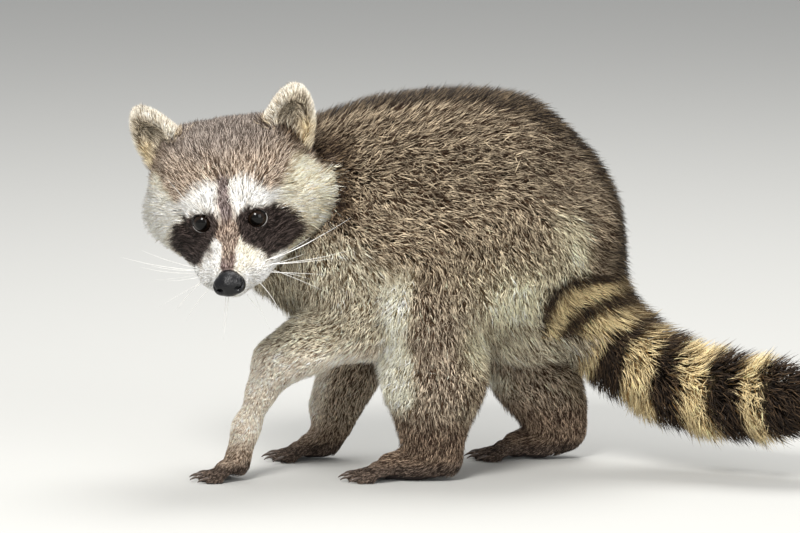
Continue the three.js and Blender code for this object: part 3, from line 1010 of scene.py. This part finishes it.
def piece_of(mesh, material):
    piece = add_object(mesh.name, mesh)
    mesh.materials.append(material)
    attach(piece, "root")
    return piece


def coat_piece(name, coat, chosen, uv, material, slot):
    root, knee, tip = coat.root[chosen], coat.knee[chosen], coat.tip[chosen]
    root = root - coat.normal[chosen] * ROOT_DEPTH
    root[:, 2] = np.maximum(root[:, 2], 0.1)
    way = unit(tip - root)
    across = unit(np.cross(way, coat.normal[chosen]))
    out = np.cross(across, way)
    half = coat.width[chosen, None] / 2
    ring = [knee - across * half, knee + across * half, knee + out * half * 0.9]
    points = np.stack([root, *ring, tip], axis=1).reshape(-1, 3)
    triangles = (np.arange(len(chosen))[:, None, None] * 5 + TUFT_FACES).reshape(-1, 3)
    patches = (uv[:, None] + PATCH * PATCH_SHAPE).reshape(-1, 2)
    mesh = mesh_of(name, points, triangles, coat.colours[chosen].reshape(-1, 3), patches)
    return piece_of(mesh, material)


def part_slot(part):
    if part.startswith("ear"):
        return "ear_fur"
    return {"head": "face_fur", "trunk": "body_fur", "tail": "tail_fur"}.get(part, "leg_fur")


def make_coat(skin_mesh, material):
    coat = Coat(skin_mesh)
    for part in sorted(set(coat.part)):
        chosen = np.flatnonzero(coat.part == part)
        u, v = unwrap(coat.root[chosen], part)
        order = np.argsort(v)
        count = math.ceil(len(chosen) / TUFTS_PER_PIECE)
        for i, share in enumerate(np.array_split(order, count)):
            uv = np.stack([spread(u[share]), spread(v[share])], axis=1)
            coat_piece(f"coat_{part}_{i + 1}", coat, chosen[share], uv, material, part_slot(part))


# ---------------- tubes: whiskers, claws and lid rims
def ring_triangles(count, sides):
    """The triangles that join a first point, a count of rings of points and a last point."""
    faces, last = [], count * sides + 1
    for s in range(sides):
        n = (s + 1) % sides
        faces.append((0, 1 + n, 1 + s))
        for i in range(count - 1):
            a, b = 1 + i * sides + s, 1 + i * sides + n
            faces += [(a, b, b + sides), (a, b + sides, a + sides)]
        faces.append((last, last - sides + s, last - sides + n))
    return np.array(faces)


def tube(path, radii, sides, flat=1.0):
    """A closed tube round a path, as points and triangles."""
    path = np.asarray(path, float)
    ways = unit(np.gradient(path, axis=0))
    up = np.array([0, 0, 1.0]) if abs(ways[0, 2]) < 0.8 else np.array([1.0, 0, 0])
    points = [path[0]]
    for place, way, radius in zip(path, ways, radii):
        up = unit(up - way * (up @ way))
        across = np.cross(way, up)
        for turn in 2 * np.pi * np.arange(sides) / sides:
            points.append(place + radius * (up * math.cos(turn) + across * flat * math.sin(turn)))
    points.append(path[-1])
    return np.array(points), ring_triangles(len(path), sides)


def joined(shapes):
    points, faces, passed = [], [], 0
    for some, triangles in shapes:
        points.append(some)
        faces.append(triangles + passed)
        passed += len(some)
    return np.concatenate(points), np.concatenate(faces)


def curve(points, count):
    """A smooth path through a quadratic Bezier's three points."""
    a, b, c = (np.asarray(point, float) for point in points)
    t = np.linspace(0, 1, count)[:, None]
    return a * (1 - t) ** 2 + 2 * b * t * (1 - t) + c * t * t


def make_claws(material):
    for name, leg in LEGS.items():
        end, side = name.split("leg_")
        for i, (points, ahead, _) in enumerate(toe_paths(leg)):
            tip = points[-1]
            path = [
                tip - 3 * ahead + (0, 0, 1),
                tip + 0.55 * CLAW_LENGTH * ahead + (0, 0, 3.2),
                np.append((tip + CLAW_LENGTH * ahead)[:2], 1.25),
            ]
            radii = CLAW_RADIUS * (1 - 0.85 * np.linspace(0, 1, 9) ** 1.6)
            shape = tube(curve(path, 9), radii, 10, flat=0.72)
            node = f"claw_{end}_{side}_{i + 1}"
            piece = piece_of(mesh_of(f"{node}_horn", *shape), material)
            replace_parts(piece, node)


# Whiskers as (start, middle, end) in the head frame, on the animal's left; both sides get them.
WHISKERS = [
    ((17, 19, -24), (4, 42, -23), (-6, 62, -16)),
    ((13, 21.5, -26), (0, 48, -25), (-14, 74, -18)),
    ((18, 19.5, -26), (4, 44, -30), (-10, 66, -27)),
    ((11, 22, -29), (-2, 46, -34), (-14, 64, -36)),
    ((21, 17, -23), (10, 40, -24), (-4, 60, -18)),
    ((22, 16.5, -29), (12, 36, -38), (4, 52, -46)),
    ((15, 20, -32), (6, 36, -44), (0, 46, -58)),
    ((24, 14, -33), (18, 26, -46), (15, 33, -60)),
    ((7, 20.5, -33), (-2, 38, -46), (-6, 50, -56)),
    ((26, 12, -25), (18, 30, -28), (8, 44, -28)),
    ((22, 6, -43), (20, 10, -56), (16, 14, -66)),
    ((14, 9, -45), (10, 14, -58), (6, 20, -70)),
    ((2, 21, 12), (7, 25, 22), (5, 31, 31)),
    ((2, 16, 13), (7, 18, 23), (6, 20, 32)),
]


def make_whiskers(material):
    shapes = []
    for side, _ in SIDES:
        for start, middle, end in WHISKERS:
            bend = RANDOM.normal(size=3) * 2.2
            spots = (start, np.add(middle, bend), np.add(end, 2 * bend))
            points = [on_head(x, y * side, z) for x, y, z in spots]
            radii = np.linspace(0.26, 0.05, 12)
            shapes.append(tube(curve(points, 12), radii, 5))
    return piece_of(mesh_of("whiskers", *joined(shapes)), material)


def make_lid_rims(dark, pale):
    """The wet edges of the lids, in the gap between lid and eyeball; the lower one is pale grey, a painted
    highlight along its wet edge.
    """
    wide, high = LID_OPENING
    for side, word in SIDES:
        centre, axes = eye_frame(side)
        # lower rims: pale, a painted highlight of the wet edge; upper rims: the lids' own dark skin
        for name, first, last, material in (("lower", 195, 400, pale), ("upper", 5, 190, dark)):
            turn = np.radians(np.linspace(first, last, 40))
            y, z = 0.965 * wide * np.cos(turn), 0.965 * high * np.sin(turn)
            x = np.sqrt(np.square(EYE_RADIUS + 0.12) - y * y - z * z)
            path = centre + np.stack([x, y, z], axis=1) @ axes.T
            radii = 0.34 * np.sin(np.linspace(0.25, math.pi - 0.25, 40)) ** 0.5
            piece_of(mesh_of(f"lid_rim_{name}_{word}", *tube(path, radii, 8)), material)


# ---------------- eyes
IRIS_EDGE, PUPIL_EDGE = 0.80, 0.52  # angles from the gaze, in radians
IRIS_TONE, PUPIL_TONE = tone(38, 27, 19), tone(8, 7, 6)
CORNEA_RISE = 0.55


def make_eye(side, word, material):
    rings, sides = 39, 48
    centre, axes = eye_frame(side)
    theta = np.linspace(0, math.pi, rings + 2)[1:-1]
    phi = 2 * math.pi * np.arange(sides) / sides
    theta, phi = (grid.ravel() for grid in np.meshgrid(theta, phi, indexing="ij"))
    theta, phi = np.hstack([0, theta, math.pi]), np.hstack([0, phi, 0])
    radius = EYE_RADIUS + CORNEA_RISE * step(theta, 0.95, 0.2)
    local = np.stack([np.cos(theta), np.sin(theta) * np.cos(phi), np.sin(theta) * np.sin(phi)], axis=1)
    points = centre + (radius[:, None] * local) @ axes.T
    outwards = ring_triangles(rings, sides)[:, ::-1]
    streaks = 0.7 + 0.3 * np.sin(17 * phi) * np.sin(29 * phi + 1)
    iris = step(theta, PUPIL_EDGE - 0.05, PUPIL_EDGE + 0.05)
    iris *= step(theta, IRIS_EDGE + 0.05, IRIS_EDGE - 0.05)
    colours = PUPIL_TONE + (iris * streaks)[:, None] * (IRIS_TONE - PUPIL_TONE)
    mesh = mesh_of(f"eyeball_{word}", points, outwards, colours)
    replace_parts(piece_of(mesh, material), f"eye_{word}")


# ---------------- the nose
def nose_distance(points):
    """The pad: a rounded front, two wings, and the nostrils with their slits cut into it."""
    local = in_head(points) - NOSE_AT
    mirrored = local.copy()
    mirrored[:, 1] = np.abs(mirrored[:, 1])
    total = ellipsoid(local - (-0.6, 0, -0.6), np.array([6.6, 8.8, 7.2]))
    total = smooth_min(total, ellipsoid(local - (-3, 0, 4), np.array([6.2, 6.6, 4.6])), 2.5)
    total = smooth_min(total, ellipsoid(mirrored - (-1.2, 5.8, -0.8), np.array([5.6, 4.6, 5.6])), 1.5)
    nostril = Mass("nose", (7, 3.9, -2.6), (2.2, 6.6, -1.2), (1.5, 1.2), (0, 0)).distance(mirrored, 0)
    slit = Mass("nose", (3.4, 8.6, -1.5), (-1.5, 10.6, 3.2), (0.75, 0.6), (0, 0)).distance(mirrored, 0)
    cleft = Mass("nose", (6.6, 0, -2.5), (3.5, 0, -9), (0.4, 0.7), (0, 0)).distance(mirrored, 0)
    for cut in (nostril, slit, cleft):
        total = smooth_max(total, -cut, 0.9)
    return total


def make_nose(material):
    middle = on_head(*NOSE_AT)
    corners, quads = surface(nose_distance, middle - 15, middle + 15, 0.5)
    corners = settle(corners, nose_distance, 1)
    triangles = np.concatenate([quads[:, [0, 1, 2]], quads[:, [0, 2, 3]]])
    mesh = mesh_of("nose_leather", corners, triangles)
    edit_mesh(mesh, face_outwards)
    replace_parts(piece_of(mesh, material), "nose_pad")


# ---------------- materials
class Look:
    """A material's node tree, with short ways to add and join nodes."""

    def __init__(self, name, roughness, **sockets):
        self.material = bpy.data.materials.new(name)
        self.material.use_nodes = True
        self.tree = self.material.node_tree
        self.shader = self.tree.nodes["Principled BSDF"]
        self.shader.inputs["Roughness"].default_value = roughness
        for socket, value in sockets.items():
            self.shader.inputs[socket.replace("_", " ")].default_value = value

    def node(self, kind, **inputs):
        node = self.tree.nodes.new(kind)
        for socket, value in inputs.items():
            node.inputs[socket.replace("_", " ")].default_value = value
        return node

    def join(self, source, target):
        self.tree.links.new(source, target)

    def noise(self, scale, detail=3.0):
        texture = self.node("ShaderNodeTexNoise", Scale=scale, Detail=detail)
        self.join(self.node("ShaderNodeTexCoord").outputs["Object"], texture.inputs["Vector"])
        return texture

    def colour_from(self, socket):
        self.join(socket, self.shader.inputs["Base Color"])

    def varied(self, colour, texture, low, high):
        """A colour socket made darker and lighter by a texture."""
        span = self.node("ShaderNodeMapRange", To_Min=low, To_Max=high)
        self.join(texture.outputs["Fac"], span.inputs["Value"])
        mix = self.tree.nodes.new("ShaderNodeVectorMath")
        mix.operation = "SCALE"
        self.join(colour, mix.inputs[0])
        self.join(span.outputs["Result"], mix.inputs["Scale"])
        return mix.outputs["Vector"]

    def colour_between(self, dark, pale, texture):
        """The base colour, running from dark to pale as a texture does."""
        ramp = self.node("ShaderNodeValToRGB")
        for end, colour in zip(ramp.color_ramp.elements, (dark, pale)):
            end.color = (*colour, 1)
        self.join(texture.outputs["Fac"], ramp.inputs["Fac"])
        self.colour_from(ramp.outputs["Color"])

    def bump(self, height, distance, strength):
        node = self.node("ShaderNodeBump", Distance=distance, Strength=strength)
        self.join(height, node.inputs["Height"])
        self.join(node.outputs["Normal"], self.shader.inputs["Normal"])


def painted(name, roughness, grain, low, high, **sockets):
    """A look whose colour is the mesh's own, varied by fine grain."""
    look = Look(name, roughness, **sockets)
    layer = look.node("ShaderNodeAttribute")
    layer.attribute_name = "coat"
    look.colour_from(look.varied(layer.outputs["Color"], look.noise(grain), low, high))
    return look


def fur_look():
    return painted("fur", 0.6, 900, 0.82, 1.18, Specular_IOR_Level=0.22).material


def skin_look():
    look = painted("short_fur_skin", 0.8, 1400, 0.6, 1.15, Specular_IOR_Level=0.2)
    look.bump(look.noise(1800, 4).outputs["Fac"], 0.0006, 0.6)
    return look.material


def eye_look():
    look = painted("eye", 0.04, 2500, 0.7, 1.3, IOR=1.25, Coat_Weight=0.15, Coat_Roughness=0.02)
    return look.material


def nose_look():
    look = Look("nose_leather", 0.27, Specular_IOR_Level=0.38)
    look.colour_between(tone(4, 4, 5), tone(14, 14, 17), look.noise(420))
    pebbles = look.node("ShaderNodeTexVoronoi", Scale=1500)
    look.join(look.node("ShaderNodeTexCoord").outputs["Object"], pebbles.inputs["Vector"])
    look.bump(pebbles.outputs["Distance"], 0.0003, 0.55)
    return look.material


def plain_look(name, colour, roughness, grain, **sockets):
    """One colour with a fine mottle and bump."""
    look = Look(name, roughness, **sockets)
    texture = look.noise(grain)
    look.colour_between(0.75 * colour, np.minimum(1.25 * colour, 1), texture)
    look.bump(texture.outputs["Fac"], 0.0002, 0.3)
    return look.material


# ---------------- camera, floor and light
PIXEL = 0.65  # millimetres to a pixel, where the animal stands
FRAME_WIDTH = 800  # pixels
CAMERA_RISE = math.radians(8)
CAMERA_AWAY = 4000
FRAME_MIDDLE = (-26.0, 131.6)  # millimetres right of the skeleton's origin and above it


def make_camera():
    back = np.array([0, -math.cos(CAMERA_RISE), math.sin(CAMERA_RISE)])
    up = np.array([0, math.sin(CAMERA_RISE), math.cos(CAMERA_RISE)])
    right = np.array([1.0, 0, 0])
    place = right * FRAME_MIDDLE[0] + up * FRAME_MIDDLE[1] + back * CAMERA_AWAY
    data = bpy.data.cameras.new("camera")
    data.sensor_width = 36
    data.lens = 36 * CAMERA_AWAY / PIXEL / FRAME_WIDTH
    data.clip_start, data.clip_end = 0.1, 200
    camera = add_object("camera", data)
    axes = Matrix(np.stack([right, up, back], axis=1).tolist()).to_4x4()
    camera.matrix_world = Matrix.Translation(Vector(to_frame(place))) @ axes
    bpy.context.scene.camera = camera


def make_floor():
    mesh = bpy.data.meshes.new("floor")
    far = 40
    mesh.from_pydata([(-far, -far, 0), (far, -far, 0), (far, far, 0), (-far, far, 0)], [], [(0, 1, 2, 3)])
    look = Look("floor", 0.9, Base_Color=(*tone(190, 190, 187), 1), Specular_IOR_Level=0.1)
    mesh.materials.append(look.material)
    add_object("floor", mesh)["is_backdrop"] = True


def make_light(name, place, size, power, colour):
    data = bpy.data.lights.new(name, "AREA")
    data.size, data.energy, data.color = size, power, colour
    light = add_object(name, data)
    light.location = place
    light.rotation_euler = (Vector((-0.05, 0, 0.13)) - Vector(place)).to_track_quat("-Z", "Y").to_euler()


def make_lights():
    make_light("key", (-0.68, -1.8, 1.75), 0.75, 67, (1, 0.98, 0.95))
    make_light("top", (0.2, 0.7, 2.2), 1.4, 40, (1, 0.99, 0.97))
    make_light("fill", (1.5, -1.9, 0.9), 1.5, 27, (1, 0.99, 0.97))
    world = bpy.data.worlds.new("world")
    bpy.context.scene.world = world
    world.use_nodes = True
    sky = world.node_tree.nodes["Background"]
    sky.inputs["Color"].default_value = (0.97, 0.98, 1, 1)
    sky.inputs["Strength"].default_value = 0.55


# ---------------- putting it together
FLESH = ["head", "neck", "trunk", "tail_base", "tail_middle", "tail_tip", "ear_left", "ear_right"]
FLESH += list(LEGS) + ["forepaw_left", "forepaw_right", "hindfoot_left", "hindfoot_right"]


def paint_skin(mesh):
    """The coat's markings on the skin under it, darker, and darker still as painted shade where the coat is
    deep; and dark bare pads and lids.
    """
    points = places(mesh)
    normals = values_of(mesh.vertices, "normal")
    paint = marks_at(points + 4 * lie_at(points, normals), normals, part_at(points))
    depth = step(-coat_distance(points), 2.5, 8)[:, None]
    shade = paint.dark * (1 - paint.share[:, None]) + paint.pale * paint.share[:, None]
    # painted shade: the skin's colour falls from 0.8 under a short coat to 0.3 under a deep one, for the
    # shade within the coat
    colours = shade * (0.8 - 0.5 * depth)
    colours[is_bare(points, normals)] = tone(48, 40, 38)
    return colours


def make_body():
    lay_body()
    lay_head()
    lay_toes()
    flesh = make_skin()
    colours = paint_skin(flesh)
    mesh = mesh_of("skin", places(flesh), triangles_of(flesh), colours)
    skin = piece_of(mesh, skin_look())
    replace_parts(skin, *FLESH)
    make_coat(flesh, fur_look())
    bpy.data.meshes.remove(flesh)


bpy.context.scene.view_settings.view_transform = "Standard"
make_camera()
make_floor()
make_lights()
make_body()
EYE_LOOK = eye_look()
for eye_side, eye_word in SIDES:
    make_eye(eye_side, eye_word, EYE_LOOK)
make_nose(nose_look())
make_lid_rims(
    plain_look("lid_dark", tone(34, 28, 27), 0.3, 900, Coat_Weight=0.5),
    # the lower rims' pale grey is a painted highlight of the wet lid edge
    plain_look("lid_rim_painted_highlight", tone(150, 146, 142), 0.25, 900, Coat_Weight=0.5),
)
make_claws(plain_look("claw_horn", tone(70, 56, 46), 0.4, 700, Coat_Weight=0.2))
make_whiskers(plain_look("whisker", tone(236, 234, 228), 0.35, 600, Specular_IOR_Level=0.5))

[[list(map(float, corner)) for corner in box] for box in (CAD_BOX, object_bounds())]
